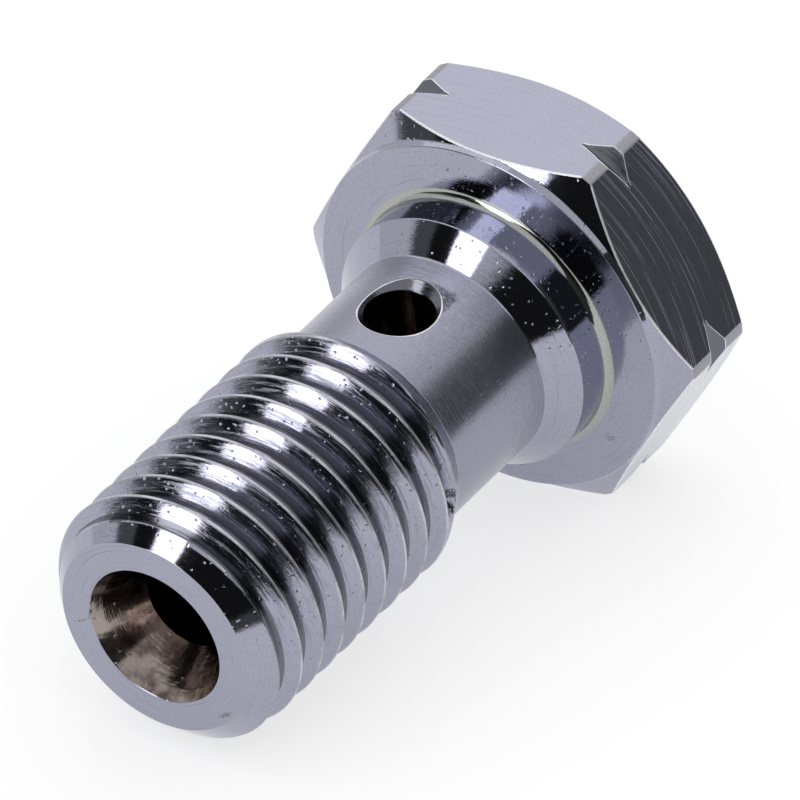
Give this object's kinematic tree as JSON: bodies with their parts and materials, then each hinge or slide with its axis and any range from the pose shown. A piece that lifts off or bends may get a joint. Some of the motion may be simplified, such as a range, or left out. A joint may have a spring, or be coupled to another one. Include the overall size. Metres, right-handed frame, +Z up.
{
  "type": "banjo bolt",
  "caption": "Hollow bolt with a hexagon head, a fine metric thread, a smooth neck with a radial cross hole and a countersunk passage, lying at rest on a flat of its head.",
  "frame": {"origin": "centre of the bounding box in X and Y, on the surface that the bolt lies on", "axes": "+Z up. The head points to +X and is raised by 6.28 degrees, because the bolt rests on a flat of its head and on the first full turn of its thread. The cross hole and one wrench flat look up, and XZ is the plane of symmetry."},
  "size_m": [0.026, 0.016, 0.0144],
  "materials": {
    "plating": "bright plated over turned and milled steel"
  },
  "bodies": {
    "root": {"banjo_bolt": "plating"}
  },
  "joints": []
}
